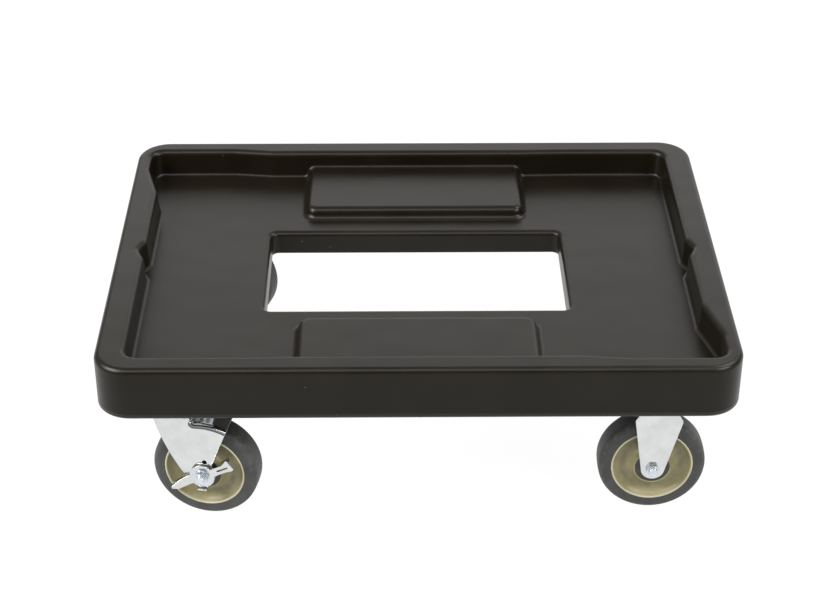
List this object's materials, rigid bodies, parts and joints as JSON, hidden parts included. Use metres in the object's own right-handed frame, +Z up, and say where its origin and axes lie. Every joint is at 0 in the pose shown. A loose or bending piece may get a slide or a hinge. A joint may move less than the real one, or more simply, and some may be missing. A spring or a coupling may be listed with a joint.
{
  "type": "food carrier dolly",
  "caption": "Low rolling platform with a rimmed well, raised pads and a central opening, on swivel casters with side brakes and rigid casters, for moving insulated food carriers.",
  "frame": {"origin": "on the floor under the middle of the platform", "axes": "+X along the platform to the rigid casters, +Y to the back, +Z up"},
  "size_m": [0.736, 0.546, 0.232],
  "materials": {
    "platform_plastic": "satin rotationally moulded polyethylene, charcoal black",
    "zinc_steel": "bright zinc plate on pressed steel",
    "polished_steel": "bright plate on pressed steel",
    "fastener_steel": "bluish zinc plate on turned steel",
    "bearing_steel": "polished steel balls",
    "insert_brass": "turned brass",
    "core_plastic": "satin moulded nylon, tan",
    "tyre_rubber": "matt grey rubber",
    "bush_plastic": "plain bearing plastic",
    "guard_plastic": "satin black plastic"
  },
  "bodies": {
    "platform": {"platform_shell": "platform_plastic", "threaded_inserts": "insert_brass", "mounting_bolts": "fastener_steel", "mounting_washers": "fastener_steel", "front_swivel_plate": "zinc_steel", "front_swivel_upper_balls": "bearing_steel", "front_swivel_lower_balls": "bearing_steel", "front_swivel_lower_race": "zinc_steel", "front_swivel_kingpin": "fastener_steel", "front_swivel_kingpin_nut": "fastener_steel", "front_rigid_plate": "zinc_steel", "front_rigid_fork": "zinc_steel", "front_rigid_axle": "fastener_steel", "front_rigid_axle_sleeve": "fastener_steel", "front_rigid_axle_nut": "fastener_steel", "rear_swivel_plate": "zinc_steel", "rear_swivel_upper_balls": "bearing_steel", "rear_swivel_lower_balls": "bearing_steel", "rear_swivel_lower_race": "zinc_steel", "rear_swivel_kingpin": "fastener_steel", "rear_swivel_kingpin_nut": "fastener_steel", "rear_rigid_plate": "zinc_steel", "rear_rigid_fork": "zinc_steel", "rear_rigid_axle": "fastener_steel", "rear_rigid_axle_sleeve": "fastener_steel", "rear_rigid_axle_nut": "fastener_steel"},
    "front_swivel": {"front_swivel_fork": "zinc_steel", "front_swivel_axle": "fastener_steel", "front_swivel_axle_sleeve": "fastener_steel", "front_swivel_axle_nut": "fastener_steel", "front_swivel_brake_cam": "zinc_steel", "front_swivel_brake_washer": "fastener_steel"},
    "front_brake": {"front_swivel_brake_lever": "polished_steel"},
    "front_swivel_wheel": {"front_swivel_core": "core_plastic", "front_swivel_tyre": "tyre_rubber", "front_swivel_bearing": "bush_plastic", "front_swivel_thread_guards": "guard_plastic"},
    "front_rigid_wheel": {"front_rigid_core": "core_plastic", "front_rigid_tyre": "tyre_rubber", "front_rigid_bearing": "bush_plastic", "front_rigid_thread_guards": "guard_plastic"},
    "rear_swivel": {"rear_swivel_fork": "zinc_steel", "rear_swivel_axle": "fastener_steel", "rear_swivel_axle_sleeve": "fastener_steel", "rear_swivel_axle_nut": "fastener_steel", "rear_swivel_brake_cam": "zinc_steel", "rear_swivel_brake_washer": "fastener_steel"},
    "rear_brake": {"rear_swivel_brake_lever": "polished_steel"},
    "rear_swivel_wheel": {"rear_swivel_core": "core_plastic", "rear_swivel_tyre": "tyre_rubber", "rear_swivel_bearing": "bush_plastic", "rear_swivel_thread_guards": "guard_plastic"},
    "rear_rigid_wheel": {"rear_rigid_core": "core_plastic", "rear_rigid_tyre": "tyre_rubber", "rear_rigid_bearing": "bush_plastic", "rear_rigid_thread_guards": "guard_plastic"}
  },
  "joints": [
    {"name": "front_swivel_turn", "type": "hinge", "parent": "platform", "child": "front_swivel", "pos_m": [-0.2808, -0.2124, 0.1453], "axis": [0, 0, 1], "continuous": true},
    {"name": "front_swivel_roll", "type": "hinge", "parent": "front_swivel", "child": "front_swivel_wheel", "pos_m": [-0.24824, -0.21891, 0.0635], "axis": [0.1959, 0.9806, 0], "continuous": true},
    {"name": "front_brake_rock", "type": "hinge", "parent": "front_swivel", "child": "front_brake", "pos_m": [-0.24824, -0.21891, 0.0635], "axis": [0.1959, 0.9806, 0], "range_deg": [0, 50]},
    {"name": "front_rigid_roll", "type": "hinge", "parent": "platform", "child": "front_rigid_wheel", "pos_m": [0.2758, -0.2124, 0.0635], "axis": [0, 1, 0], "continuous": true},
    {"name": "rear_swivel_turn", "type": "hinge", "parent": "platform", "child": "rear_swivel", "pos_m": [-0.2808, 0.2124, 0.1453], "axis": [0, 0, 1], "continuous": true},
    {"name": "rear_swivel_roll", "type": "hinge", "parent": "rear_swivel", "child": "rear_swivel_wheel", "pos_m": [-0.24937, 0.2017, 0.0635], "axis": [0.3223, 0.9466, 0], "continuous": true},
    {"name": "rear_brake_rock", "type": "hinge", "parent": "rear_swivel", "child": "rear_brake", "pos_m": [-0.24937, 0.2017, 0.0635], "axis": [0.3223, 0.9466, 0], "range_deg": [0, 50]},
    {"name": "rear_rigid_roll", "type": "hinge", "parent": "platform", "child": "rear_rigid_wheel", "pos_m": [0.2758, 0.2124, 0.0635], "axis": [0, 1, 0], "continuous": true}
  ]
}
